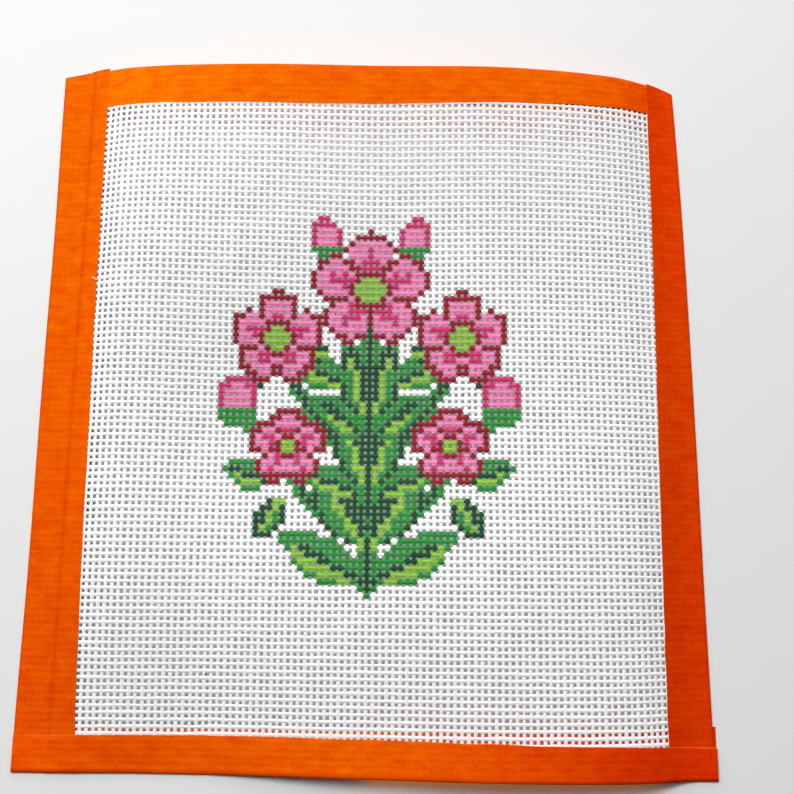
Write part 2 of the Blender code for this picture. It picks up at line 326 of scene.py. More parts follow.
def stemDistance(x, y, stem):
    # how far each point is from a stem that bends through its middle point
    best = np.full(x.shape, 1e3)
    (x0, y0), (x1, y1), (x2, y2) = stem
    for t in np.linspace(0, 1, 60):
        sx = x0 * (1 - t) * (1 - 2 * t) + x1 * 4 * t * (1 - t) + x2 * t * (2 * t - 1)
        sy = y0 * (1 - t) * (1 - 2 * t) + y1 * 4 * t * (1 - t) + y2 * t * (2 * t - 1)
        best = np.minimum(best, np.hypot(x - sx, y - sy))
    return best


def chartDesign(columns, rows):
    # a paint's name, or nothing, for each crossing: mirrored, so only the right half is described
    x = np.abs(columns - design["middle"][0]).astype(float)[None, :] + np.zeros((len(rows), 1))
    y = (design["middle"][1] - rows).astype(float)[:, None] + np.zeros((1, len(columns)))
    chart = np.full(x.shape, "", dtype="<U5")
    for stem in design["stems"]:
        away = stemDistance(x, y, stem)
        chart[away < design["stemEdge"]] = "green"
        chart[away < design["stemMiddle"]] = "dark"
    for x0, y0, turn, length, half, shade in design["leaves"]:
        angle = math.radians(turn)
        along = (x - x0) * math.sin(angle) + (y - y0) * math.cos(angle)
        aside = (x - x0) * math.cos(angle) - (y - y0) * math.sin(angle)
        share = np.clip(along / length, 0, 1)
        edge = half * np.sin(math.pi * share ** design["leafTaper"]) + 0.2
        inside = (along > 0) & (along < length) & (np.abs(aside) < edge)
        lit = (aside > 0.3) & (edge - aside > design["leafRim"])
        vein = (np.abs(aside) < design["leafVein"]) & (share < 0.8)
        chart[inside] = shade
        chart[inside & lit] = "green" if shade == "dark" else "lime"
        chart[inside & vein] = "lime" if shade == "dark" else "dark"
    for x0, y0, radius in design["buds"]:
        away = np.hypot(x - x0, (y - y0) * 0.85)
        chart[away < radius + design["budRim"]] = "deep"
        chart[away < radius + design["budRim"] - 1] = "pink"
        chart[(away < radius + 1.0) & (y < y0 - 0.5 * radius)] = "green"
    for x0, y0, radius in design["blossoms"]:
        dx, dy = x - x0, y - y0
        away, turn = np.hypot(dx, dy), np.arctan2(dx, dy)
        petal = np.abs(np.cos(design["petals"] / 2 * turn))  # 1 down a petal's middle, 0 between two
        rim = radius * (1 - design["petalDip"] + design["petalDip"] * petal ** design["petalRound"])
        face = away < rim - design["petalOutline"]
        chart[away < rim] = "wine"
        chart[face] = "pink"
        chart[face & (petal < 0.30)] = "wine"
        chart[(away < radius * 0.72) & (petal > 0.965) & (away > radius * 0.3)] = "deep"
        chart[face & (away > radius * design["heart"]) & (away < radius * 0.52) & (petal > 0.6)] = "deep"
        chart[away < radius * design["heart"]] = "wine"
        chart[away < radius * design["eye"]] = "lime"
    return chart


# The woven canvas: single threads over and under each other, thirteen to the inch, each one a tube.

canvas = {
    "pitch": 25.4 / 13,
    "origin": (58.05, 63.9),  # the thread counts that meet at the layout's origin
    "left": -91.0,
    "room": 0.55,  # between the canvas's cut edge and the inside of a fold
    "endRoom": 0.6,  # between the canvas's cut edge and a side strip's end
    "widthAcross": 1.05,  # of a thread, flattened by its size
    "widthUp": 1.02,
    "flatness": 0.55,  # 1 for an oval thread, less for a flatter one
    "thickAcross": 0.32,
    "thickUp": 0.28,
    "sides": 6,
    "sharpFrom": 60,  # degrees
    "waveAcross": 0.03,  # the threads across lie nearly straight and those up the panel bend round them
    "waveUp": 0.07,
    "raise": 0.04,  # how much higher the threads across lie
    "wander": 0.045,
    "slub": 0.10,
    "white": (0.98, 0.98, 0.985),
    "splits": 4,  # how many threads either way the quarters' parting line wanders
    "leastSteps": 20,  # a thread with fewer half-pitch steps inside the tape is left out
    "paintSpread": 0.05,  # how unevenly the paint takes
    "paintThrough": 0.6,  # how much of it reaches the underside
    "loose": (
        # where it starts and ends, its height and width, and its colour as seen, 0 to 255
        ((-84.4, 37.9), (-86.3, 39.1), 0.92, 0.30, (255, 240, 218)),
        ((-46.7, -79.0), (-46.3, -79.4), 0.36, 0.46, (48, 48, 50)),
        ((-17.1, -79.4), (-16.8, -79.7), 0.30, 0.38, (112, 112, 114)),
    ),
    "seed": 13,
}


def threadTube(middle, aside, out, width, thick):
    # a ring of points round each point of a thread's middle line
    angles = np.arange(canvas["sides"]) * 2 * math.pi / canvas["sides"]
    level = np.sign(np.sin(angles)) * np.abs(np.sin(angles)) ** canvas["flatness"]
    rings = (
        middle[:, None, :]
        + aside[:, None, :] * (np.cos(angles)[None, :, None] * width[:, None, None] / 2)
        + out[:, None, :] * (level[None, :, None] * thick[:, None, None] / 2)
    )
    return rings.reshape(-1, 3)


def tubeFaces(stations, turned):
    k = canvas["sides"]
    i, j = np.meshgrid(np.arange(stations - 1), np.arange(k), indexing="ij")
    low, high, nextLow, nextHigh = i * k + j, (i + 1) * k + j, i * k + (j + 1) % k, (i + 1) * k + (j + 1) % k
    quads = np.stack([low, nextLow, nextHigh, high], -1).reshape(-1, 4)
    caps = np.array([np.arange(k)[::-1], (stations - 1) * k + np.arange(k)])
    return (quads[:, ::-1], caps[:, ::-1]) if turned else (quads, caps)


def weaveCanvas():
    pitch, (originAcross, originUp) = canvas["pitch"], canvas["origin"]
    random = np.random.default_rng(canvas["seed"])
    rightmost = max(tape["foldRight"]) - tape["thick"] - canvas["room"]
    firstColumn = math.ceil(canvas["left"] / pitch + originAcross)
    columns = np.arange(firstColumn, int(rightmost / pitch + originAcross) + 1)
    firstRow = int(originUp - max(tape["foldTop"]) / pitch) + 1
    rows = np.arange(firstRow, int(originUp - min(tape["foldBottom"]) / pitch) + 1)
    halfA = (np.arange(2 * columns[0] - 1, 2 * columns[-1] + 2) / 2 - originAcross) * pitch
    halfB = (originUp - np.arange(2 * rows[0] - 1, 2 * rows[-1] + 2) / 2) * pitch
    gridA, gridB = np.meshgrid(halfA, halfB)
    shape = gridA.shape
    point, right, upward, out = (v.reshape(*shape, 3) for v in layOut(gridA, gridB))
    lowEdge = bottomFold(halfA) + canvas["room"] + tape["thick"]
    highEdge = np.minimum(sideEnd("Left", halfA), sideEnd("Right", halfA)) - canvas["endRoom"]
    highEdge = np.minimum(highEdge, topFold(halfA) - canvas["room"] - tape["thick"])
    chart = chartDesign(columns, rows)
    palette = {name: linear(colour) for name, colour in design["paints"].items()}
    white = np.array(canvas["white"])
    paint = np.array([[palette[name] if name else white for name in line] for line in chart])
    painted = chart != ""
    paint *= (1 + random.normal(0, canvas["paintSpread"], painted.shape) * painted)[..., None]
    quarters = {}
    middleColumn, middleRow = (len(columns) // 2) * 2, (len(rows) // 2) * 2

    def keep(quarter, rings, quads, caps):
        empty = {"points": [], "quads": [], "caps": [], "paint": [], "uv": [], "n": 0}
        store = quarters.setdefault(quarter, empty)
        store["points"].append(rings)
        store["quads"].append(quads + store["n"])
        store["caps"].append(caps + store["n"])
        store["n"] += len(rings)
        return store

    def addLoose(start, end, height, width, colour):
        # a thread's frayed end, or a speck of lint
        share = np.array([0, 0.15, 0.5, 0.85, 1])
        a, b = (start[k] + (end[k] - start[k]) * share for k in (0, 1))
        p, _, _, o = layOut(a, b)
        along = unit(p[-1] - p[0])
        size = width * np.array([0.5, 0.9, 1.0, 0.8, 0.35])
        middle = p + o * (height + 0.12 * share)[:, None]
        rings = threadTube(middle, np.cross(o, along), o, size, size * 0.8)
        quarter = ("upper" if start[1] > 0 else "lower") + ("_left" if start[0] < 0 else "_right")
        store = keep(quarter, rings, *tubeFaces(len(share), True))
        store["paint"].append(np.tile(linear(colour), ((len(share) - 1) * canvas["sides"], 1)))
        store["uv"].append(np.tile([0.0, 0.5], (len(rings), 1)))

    def addThread(index, isAcross, steps, parts):
        # steps are half-pitch stations along the thread, odd ones at the crossings
        # it is parted between two quarters
        wobble = np.interp(steps, steps[::4], random.normal(0, canvas["wander"], len(steps[::4])))
        swell = 1 + np.interp(steps, steps[::6], random.normal(0, canvas["slub"], len(steps[::6])))
        start = random.uniform(0, 9)
        for quarter, inside in parts:
            if np.count_nonzero(inside) > 8:
                addPart(quarter, index, isAcross, steps[inside], wobble[inside], swell[inside], start)

    def addPart(quarter, index, isAcross, steps, wobble, swell, start):
        n = len(steps)
        place = 2 * index + 1
        phase = np.where(steps % 2 == 1, np.where(((steps // 2) + index) % 2 == 0, 1.0, -1.0), 0.0)
        if isAcross:
            p, aside, o = point[place, steps], upward[place, steps], out[place, steps]
            h = canvas["raise"] + phase * canvas["waveAcross"]
            width, thick = canvas["widthAcross"], canvas["thickAcross"]
            colours, crossing = paint[index], painted[index]
        else:
            p, aside, o = point[steps, place], right[steps, place], out[steps, place]
            h, width, thick = -phase * canvas["waveUp"], canvas["widthUp"], canvas["thickUp"]
            colours, crossing = paint[:, index], painted[:, index]
        middle = p + o * h[:, None] + aside * wobble[:, None]
        rings = threadTube(middle, aside, o, width * swell, thick * (1 + (swell - 1) / 2))
        store = keep(quarter, rings, *tubeFaces(n, isAcross))
        # the two faces that meet at a crossing take its paint, thinner on the underside
        at = np.minimum(np.minimum(steps[:-1], steps[1:]) // 2, len(colours) - 1)
        tint = np.repeat(colours[at][:, None, :], canvas["sides"], axis=1)
        angles = (np.arange(canvas["sides"]) + 0.5) * 2 * math.pi / canvas["sides"]
        thin = (np.sin(angles) < -0.1)[None, :, None] & crossing[at][:, None, None]
        tint = np.where(thin, tint * canvas["paintThrough"] + white * (1 - canvas["paintThrough"]), tint)
        store["paint"].append(tint.reshape(-1, 3))
        around = np.tile(np.arange(canvas["sides"]) / canvas["sides"], n)
        lengthwise = np.repeat(steps / 2.0 + start, canvas["sides"])
        store["uv"].append(np.stack([lengthwise, around], 1))

    # a thread across, in two parts; its ends stop at the right fold, and the left ones are cut ragged
    for j in range(len(rows)):
        limit = rightFold(halfB[2 * j + 1]) - tape["thick"] - canvas["room"]
        inside = (halfA[None, :] < limit)[0] & (lowEdge < halfB[2 * j + 1]) & (halfB[2 * j + 1] < highEdge)
        steps = np.flatnonzero(inside)
        if len(steps) < canvas["leastSteps"]:
            continue
        level = "upper" if 2 * j + 1 <= middleRow else "lower"
        parting = middleColumn + 2 * random.integers(-canvas["splits"], canvas["splits"] + 1)
        addThread(j, True, steps, ((level + "_left", steps <= parting), (level + "_right", steps >= parting)))
    for i in range(len(columns)):
        a = halfA[2 * i + 1]
        inside = (halfB < highEdge[2 * i + 1]) & (halfB > lowEdge[2 * i + 1])
        inside &= a < rightFold(halfB) - tape["thick"] - canvas["room"]
        steps = np.flatnonzero(inside)
        if len(steps) < canvas["leastSteps"]:
            continue
        side = "left" if 2 * i + 1 <= middleColumn else "right"
        parting = middleRow + 2 * random.integers(-canvas["splits"], canvas["splits"] + 1)
        addThread(i, False, steps, (("upper_" + side, steps <= parting), ("lower_" + side, steps >= parting)))

    for item in canvas["loose"]:
        addLoose(*item)

    for quarter, store in sorted(quarters.items()):
        quads, caps = np.concatenate(store["quads"]), np.concatenate(store["caps"])
        piece = meshFrom("canvas_" + quarter, np.concatenate(store["points"]), [quads, caps], flatFaces=(1,))
        giveUv(piece, "thread", np.concatenate(store["uv"]))
        piece.data.set_sharp_from_angle(angle=math.radians(canvas["sharpFrom"]))
        layer = piece.data.color_attributes.new("paint", "FLOAT_COLOR", "CORNER")
        faceColours = np.repeat(np.concatenate(store["paint"]), 4, axis=0)
        capColours = np.tile(white, (caps.size, 1))
        colours = np.concatenate([faceColours, capColours])
        rgba = np.hstack([colours, np.ones((len(colours), 1))]).astype(np.float32)
        layer.data.foreach_set("color", rgba.ravel())
        piece.data.materials.append(canvasMaterial)
        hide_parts("canvas")
        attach(piece, "root")
        print("canvas", quarter, trianglesOf(piece), "triangles")


# The tape strips: thin cloth folded over each edge, the sides over the top strip and the bottom one over
# the sides.

strips = {
    "canvasFace": 0.205,  # where the tape's inside lies on the canvas
    "lap": 0.12,  # how far one strip lifts the next
    "lapRamp": 2.0,
    "lapEdge": 0.15,
    "flange": -0.02,  # where the left strip's front layer lies, past the canvas
    "topEnd": 91.0,  # where the top strip stops, under the right one
    "slantReach": 9.0,  # how far down a side strip its end's slant is felt
    "edgeRamp": 1.2,
    "foldReach": 1.0,
    "coarse": 1.6,
    "fine": 0.35,
    "fineReach": 2.4,
    "flapSteps": 22,
    "backSteps": 10,
    "foldSteps": 7,
    "tightest": 0.1,  # the least bend inside a fold
    "waver": 0.07,  # how far a flap's edge wanders, and over what length
    "waverLength": 6.0,
    "ripple": 0.03,
    "rippleSlant": (1.7, 0.6),
    "rippleLength": 4.0,
    "raggedBy": 0.28,  # how far the canvas's cut edge wanders, and over what length
    "raggedLength": 3.1,
    "raggedFrom": 0.35,
    "raggedSeed": 21,
    "threadEnds": 0.10,
    "overTable": 0.02,  # the least room under the cloth
    "sharpFrom": 50,  # degrees
}


def softNoise(places, spacing, seed):
    # smooth wandering values about 0, one for each place
    values = np.random.default_rng(seed).normal(0, 1, 512)
    at = places / spacing
    i = np.floor(at).astype(int)
    t = at - i
    t = t * t * (3 - 2 * t)
    return values[i % 512] * (1 - t) + values[(i + 1) % 512] * t


def overCanvas(a, b):
    # 1 over the canvas and 0 past its left edge, which is ragged with thread ends
    pitch = canvas["pitch"]
    ragged = strips["raggedBy"] * softNoise(b, strips["raggedLength"], strips["raggedSeed"])
    ends = strips["threadEnds"] * np.cos(2 * math.pi * b / pitch)
    edge = canvas["left"] - strips["raggedFrom"] + ragged + ends
    return smoothStep(a, edge - strips["edgeRamp"], edge)


def ground(a, b):
    return strips["flange"] + (strips["canvasFace"] - strips["flange"]) * overCanvas(a, b)


def onTop(a, b, back=False):
    edge = topBack(a) if back else topFlap(a)
    past = 1 - smoothStep(a, strips["topEnd"], strips["topEnd"] + strips["lapRamp"])
    return smoothStep(b, edge - strips["lapRamp"], edge - strips["lapEdge"]) * overCanvas(a, b) * past


def onSides(a, b, back=False):
    leftEdge, rightEdge = (leftBack(b), rightBack(b)) if back else (leftFlap(b), rightFlap(b))
    left = 1 - smoothStep(a, leftEdge + strips["lapEdge"], leftEdge + strips["lapRamp"])
    right = smoothStep(a, rightEdge - strips["lapRamp"], rightEdge - strips["lapEdge"])
    return left + right


def frontHeight(name, a, b):
    if name == "tape_top":
        return ground(a, b)
    if name == "tape_bottom":
        return ground(a, b) + strips["lap"] * onSides(a, b)
    return ground(a, b) + strips["lap"] * onTop(a, b)


def backHeight(name, a, b):
    level = np.full(np.broadcast(a, b).shape, -strips["canvasFace"])
    if name == "tape_bottom":
        return level - strips["lap"] * onSides(a, b, True)
    if name in ("tape_left", "tape_right"):
        return level - strips["lap"] * onTop(a, b, True)
    return level


def stationsAlong(start, end, fineSpots):
    # coarse steps along a strip, with fine ones near each place where it climbs over another
    places = [start]
    while places[-1] < end:
        near = any(abs(places[-1] - spot) < strips["fineReach"] for spot in fineSpots)
        places.append(places[-1] + (strips["fine"] if near else strips["coarse"]))
    places[-1] = end
    return np.array(places)


def bendRound(bend, inward, reach, high, low, angles):
    # half a turn round a fold, from its upper layer to its lower one
    return bend - inward * reach * np.sin(angles), (high + low) / 2 + (high - low) / 2 * np.cos(angles)


def foldStrip(name, stations, foldAt, flapAt, backAt, side, seed):
    # sections from the front flap's edge round the fold to the back flap's edge, and back along the inside
    # side is "Left" or "Right" for the strips that run up the panel
    upright = bool(side)
    thick, reach = tape["thick"], strips["foldReach"]
    towardsFold = np.linspace(0, 1, strips["flapSteps"])
    angles = np.linspace(0, math.pi, strips["foldSteps"] + 2)[1:-1]
    tight = max(reach - thick, strips["tightest"])
    wander = strips["waver"] * softNoise(stations, strips["waverLength"], seed)
    allPoints, allUv = [], []
    ringSize = 2 * (strips["flapSteps"] + strips["foldSteps"] + strips["backSteps"])
    for n, place in enumerate(stations):
        fold, flap, back = foldAt(place), flapAt(place) + wander[n], backAt(place)
        inward = np.sign(flap - fold)
        bend = fold + inward * reach
        front = flap + (bend - flap) * towardsFold
        rear = bend + (back - bend) * np.linspace(0, 1, strips["backSteps"])
        along = np.full(len(front), place), np.full(len(rear), place)
        frontA, frontB = (front, along[0]) if upright else (along[0], front)
        rearA, rearB = (rear, along[1]) if upright else (along[1], rear)
        frontIn, rearIn = frontHeight(name, frontA, frontB), backHeight(name, rearA, rearB)
        slantFront, slantPlace = strips["rippleSlant"]
        waves = softNoise(front * slantFront + place * slantPlace, strips["rippleLength"], seed + 1)
        frontIn = frontIn + np.abs(strips["ripple"] * (waves * towardsFold * (1 - towardsFold) * 4))
        frontOut, rearOut = frontIn + thick, rearIn - thick
        outer = bendRound(bend, inward, reach, frontOut[-1], rearOut[0], angles)
        inner = bendRound(bend, inward, tight, frontIn[-1], rearIn[0], angles)
        inside = np.concatenate([front, inner[0], rear]), np.concatenate([frontIn, inner[1], rearIn])
        outside = np.concatenate([front, outer[0], rear]), np.concatenate([frontOut, outer[1], rearOut])
        crosswise = np.concatenate([outside[0], inside[0][::-1]])
        height = np.concatenate([outside[1], inside[1][::-1]])
        places = np.full(ringSize, place)
        if side:
            felt = 1 - smoothStep(stations[-1] - place, 0, strips["slantReach"])
            places = places + (sideEnd(side, crosswise) - stations[-1]) * felt
        allPoints.append(np.stack([crosswise, places, height], 1))
        allUv.append(np.stack([inward * (crosswise - fold), np.abs(crosswise - flap)], 1))
    flatPoints = np.concatenate(allPoints)
    a, b = (flatPoints[:, 0], flatPoints[:, 1]) if upright else (flatPoints[:, 1], flatPoints[:, 0])
    point, _, _, out = layOut(a, b)
    placed = point + out * flatPoints[:, 2:3]
    placed[:, 2] = np.maximum(placed[:, 2], strips["overTable"])
    i, j = np.meshgrid(np.arange(len(stations) - 1), np.arange(ringSize), indexing="ij")
    k = (j + 1) % ringSize
    near, far = i * ringSize, (i + 1) * ringSize
    quads = np.stack([near + j, near + k, far + k, far + j], -1).reshape(-1, 4)
    ladder = np.arange(ringSize // 2 - 1)
    firstCap = np.stack([ladder, ladder + 1, ringSize - 2 - ladder, ringSize - 1 - ladder], 1)[:, ::-1]
    lastCap = firstCap[:, ::-1] + (len(stations) - 1) * ringSize
    startsInward = foldAt(stations[0]) < flapAt(stations[0])
    if startsInward == upright:
        quads, firstCap, lastCap = quads[:, ::-1], firstCap[:, ::-1], lastCap[:, ::-1]
    piece = meshFrom(name + "_cloth", placed, [quads, firstCap, lastCap], flatFaces=(1, 2))
    giveUv(piece, "cloth", np.stack([a, b], 1) / canvas["pitch"])
    giveUv(piece, "edges", np.concatenate(allUv))
    piece.data.set_sharp_from_angle(angle=math.radians(strips["sharpFrom"]))
    piece.data.materials.append(tapeMaterial(name))
    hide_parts(name)
    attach(piece, "root")
    middle = (stations[0] + stations[-1]) / 2
    width = abs(flapAt(middle) - foldAt(middle)) + abs(backAt(middle) - foldAt(middle))
    print(name, trianglesOf(piece), "triangles")


def foldAllStrips():
    halfL = lie["halfLength"]
    stations = stationsAlong(canvas["left"] + 1.0, strips["topEnd"], (canvas["left"], leftFlap(halfL)))
    foldStrip("tape_top", stations, topFold, topFlap, topBack, None, 31)
    spots = (canvas["left"] - 1, leftFlap(-halfL), leftBack(-halfL), rightFlap(-halfL), rightBack(-halfL))
    stations = stationsAlong(leftFold(-halfL), rightFold(-halfL) + tape["pastRight"], spots)
    foldStrip("tape_bottom", stations, bottomFold, bottomFlap, bottomBack, None, 32)
    stations = stationsAlong(bottomFold(-94.0) + 0.9, max(tape["endLeft"]), (topFlap(-90.0), topBack(-90.0)))
    foldStrip("tape_left", stations, leftFold, leftFlap, leftBack, "Left", 33)
    stations = stationsAlong(bottomFold(95.0) + 0.9, max(tape["endRight"]), (topFlap(95.0), topBack(95.0)))
    foldStrip("tape_right", stations, rightFold, rightFlap, rightBack, "Right", 34)


# Materials, from one shared effect: the mottle of fibres and dye.

def newGroup(name, inputs, outputs):
    group = bpy.data.node_groups.new(name, "ShaderNodeTree")
    for label, kind, value in inputs:
        socket = group.interface.new_socket(name=label, in_out="INPUT", socket_type=kind)
        if value is not None:
            socket.default_value = value
    for label, kind in outputs:
        group.interface.new_socket(name=label, in_out="OUTPUT", socket_type=kind)
    return group, group.nodes.new("NodeGroupInput"), group.nodes.new("NodeGroupOutput")


def mathNode(tree, operation, first, second=None, third=None):
    node = tree.nodes.new("ShaderNodeMath")
    node.operation = operation
    for i, value in enumerate((first, second, third)):
        if value is None:
            continue
        if isinstance(value, (int, float)):
            node.inputs[i].default_value = value
        else:
            tree.links.new(value, node.inputs[i])
    return node.outputs[0]


def fibreMottleGroup():
    # uneven dye and loose fibres: a colour that varies softly and a fine height
    group, entry, leave = newGroup(
        "fibreMottle",
        [("Colour", "NodeSocketColor", (1, 1, 1, 1)), ("Scale", "NodeSocketFloat", 300.0),
         ("Strength", "NodeSocketFloat", 0.1), ("Stretch", "NodeSocketVector", (1.0, 1.0, 1.0)),
         ("Spread", "NodeSocketVector", (1.0, 1.0, 1.0)), ("Extra", "NodeSocketFloat", 0.0)],
        [("Colour", "NodeSocketColor"), ("Height", "NodeSocketFloat"), ("Patches", "NodeSocketFloat")],
    )
    link = group.links.new
    coordinates = group.nodes.new("ShaderNodeTexCoord")
    stretch = group.nodes.new("ShaderNodeVectorMath")
    stretch.operation = "MULTIPLY"
    link(coordinates.outputs["Object"], stretch.inputs[0])
    link(entry.outputs["Stretch"], stretch.inputs[1])
    broad, fine = group.nodes.new("ShaderNodeTexNoise"), group.nodes.new("ShaderNodeTexNoise")
    for noise, detail in ((broad, 3.0), (fine, 4.0)):
        link(stretch.outputs[0], noise.inputs["Vector"])
        noise.inputs["Detail"].default_value = detail
    link(entry.outputs["Scale"], broad.inputs["Scale"])
    link(mathNode(group, "MULTIPLY", entry.outputs["Scale"], 9.0), fine.inputs["Scale"])
    both = mathNode(group, "ADD", mathNode(group, "MULTIPLY", broad.outputs["Fac"], 0.5),
                    mathNode(group, "MULTIPLY", fine.outputs["Fac"], 0.5))
    change = mathNode(group, "MULTIPLY", mathNode(group, "SUBTRACT", both, 0.5), entry.outputs["Strength"])
    change = mathNode(group, "ADD", change, entry.outputs["Extra"])
    # red, green and blue change by their own shares of it
    steps = []
    for operation in ("SCALE", "ADD", "MULTIPLY"):
        node = group.nodes.new("ShaderNodeVectorMath")
        node.operation = operation
        steps.append(node)
    link(entry.outputs["Spread"], steps[0].inputs[0])
    link(mathNode(group, "MULTIPLY", change, 2.0), steps[0].inputs["Scale"])
    link(steps[0].outputs[0], steps[1].inputs[0])
    steps[1].inputs[1].default_value = (1, 1, 1)
    link(steps[1].outputs[0], steps[2].inputs[0])
    link(entry.outputs["Colour"], steps[2].inputs[1])
    link(steps[2].outputs[0], leave.inputs["Colour"])
    link(fine.outputs["Fac"], leave.inputs["Height"])
    wide = group.nodes.new("ShaderNodeTexNoise")
    link(coordinates.outputs["Object"], wide.inputs["Vector"])
    link(mathNode(group, "MULTIPLY", entry.outputs["Scale"], 0.35), wide.inputs["Scale"])
    spread = mathNode(group, "MULTIPLY", mathNode(group, "SUBTRACT", wide.outputs["Fac"], 0.42), 5.0)
    link(mathNode(group, "MINIMUM", mathNode(group, "MAXIMUM", spread, 0.0), 1.0), leave.inputs["Patches"])
    return group


def placeGroup(tree, group, **values):
    node = tree.nodes.new("ShaderNodeGroup")
    node.node_tree = group
    for label, value in values.items():
        node.inputs[label].default_value = value
    return node


def newMaterial(name, roughness):
    material = bpy.data.materials.new(name)
    material.use_nodes = True
    shader = material.node_tree.nodes["Principled BSDF"]
    shader.inputs["Roughness"].default_value = roughness
    return material, material.node_tree, shader


def reliefFrom(tree, shader, height, strength, distance):
    bump = tree.nodes.new("ShaderNodeBump")
    bump.inputs["Strength"].default_value = strength
    bump.inputs["Distance"].default_value = distance
    tree.links.new(height, bump.inputs["Height"])
    tree.links.new(bump.outputs["Normal"], shader.inputs["Normal"])


fibreMottle = fibreMottleGroup()

sizedCotton = {
    "roughness": 0.62,
    "specular": 0.25,
    "mottleScale": 900.0,
    "mottle": 0.10,
    "twists": 2.0,  # to each crossing
    "fuzz": 0.5,
    "relief": 0.35,
    "reliefDepth": 0.00006,  # metres
}


def makeCanvasMaterial():
    # the paint is in the threads' own colour attribute, and the twist is a fine slanting relief
    material, tree, shader = newMaterial("sizedCotton", sizedCotton["roughness"])
    link = tree.links.new
    paint = tree.nodes.new("ShaderNodeAttribute")
    paint.attribute_name = "paint"
    mottle = placeGroup(tree, fibreMottle, Scale=sizedCotton["mottleScale"], Strength=sizedCotton["mottle"])
    link(paint.outputs["Color"], mottle.inputs["Colour"])
    link(mottle.outputs["Colour"], shader.inputs["Base Color"])
    uv = tree.nodes.new("ShaderNodeUVMap")
    uv.uv_map = "thread"
    split = tree.nodes.new("ShaderNodeSeparateXYZ")
    link(uv.outputs["UV"], split.inputs[0])
    turn = 2 * math.pi * sizedCotton["twists"]
    slant = mathNode(tree, "ADD", mathNode(tree, "MULTIPLY", split.outputs[0], turn),
                     mathNode(tree, "MULTIPLY", split.outputs[1], turn))
    ply = mathNode(tree, "ABSOLUTE", mathNode(tree, "SINE", slant))
    fuzz = mathNode(tree, "MULTIPLY", mottle.outputs["Height"], sizedCotton["fuzz"])
    relief = mathNode(tree, "ADD", ply, fuzz)
    reliefFrom(tree, shader, relief, sizedCotton["relief"], sizedCotton["reliefDepth"])
    shader.inputs["Specular IOR Level"].default_value = sizedCotton["specular"]
    return material


# Besides the tape's own orange these hold painted light and shade: a strip is paler where it faces the light,
# and darker and redder where it turns away from it or lies in shadow, as along the right strip and the bottom
# strip's right end.
tapeColoursWithPaintedShade = {
    # colours as seen, 0 to 255, at places along each strip, from 0 at its left or lower end to 1
    "tape_top": ((0.15, (244, 113, 2)), (0.5, (253, 103, 2)), (0.85, (253, 104, 2)), (0.98, (246, 68, 2))),
    "tape_bottom": ((0.15, (244, 88, 2)), (0.5, (254, 100, 2)), (0.68, (246, 84, 2)), (0.88, (224, 53, 2))),
    "tape_left": ((0.15, (236, 84, 2)), (0.5, (239, 93, 2)), (0.9, (238, 100, 2))),
    "tape_right": ((0.15, (220, 57, 2)), (0.5, (220, 64, 2)), (0.9, (228, 62, 2))),
}

tapeCloth = {
    "roughness": 0.85,
    "mottleScale": 330.0,
    "mottle": 1.15,
    "stretch": (0.6, 1.25, 1.0),
    "spread": (0.22, 1.0, 0.5),  # how much of the mottle red, green and blue take
    # a painted shade streak down the left strip, where it dips past the canvas's cut edge
    "creaseShadeReach": 0.75,  # in threads
    "creaseShadeEven": 0.15,
    "creaseShadePatchy": 0.75,
    "creasePaintedShade": (213, 68, 2),
    # painted shade round the folds, where the cloth turns under away from the light
    "foldPaintedShade": (186, 34, 1),
    "folds": {"tape_bottom": (1.5, 0.75)},  # the painted shade's reach in millimetres and its strength
    "otherFoldPaintedShades": (0.9, 0.3),
    # a painted highlight along the flap's cut edge, where it catches the light
    "flapHighlightColour": (252, 140, 40),
    "flapHighlightReach": 0.32,
    "flapPaintedHighlight": {"tape_bottom": 0.5},
    "otherFlapPaintedHighlight": 0.15,
    "gridRows": 0.5,  # how far the canvas shows through, of its threads across and up
    "gridColumns": 0.4,
    "gridEven": 0.15,
    "gridTint": 0.04,
    "weaveCount": 7.0,  # the tape's own threads to each of the canvas's
    "weaveRelief": 0.22,
    "fuzz": 0.8,
    "relief": 0.6,
    "reliefDepth": 0.00009,  # metres
}


def fadeOut(tree, distance, reach):
    # 1 where the distance is nothing, falling to 0 at the reach
    rest = mathNode(tree, "SUBTRACT", 1.0, mathNode(tree, "DIVIDE", distance, reach))
    return mathNode(tree, "MAXIMUM", rest, 0.0)


def mixInto(tree, colour, shade, factor):
    # blends a shade, as seen, 0 to 255, into a colour
    mix = tree.nodes.new("ShaderNodeMix")
    mix.data_type = "RGBA"
    tree.links.new(factor, mix.inputs["Factor"])
    tree.links.new(colour, mix.inputs["A"])
    mix.inputs["B"].default_value = (*linear(shade), 1.0)
    return mix.outputs["Result"]


def waveAlong(tree, value, operation="COSINE", count=1.0):
    return mathNode(tree, operation, mathNode(tree, "MULTIPLY", value, 2 * math.pi * count))


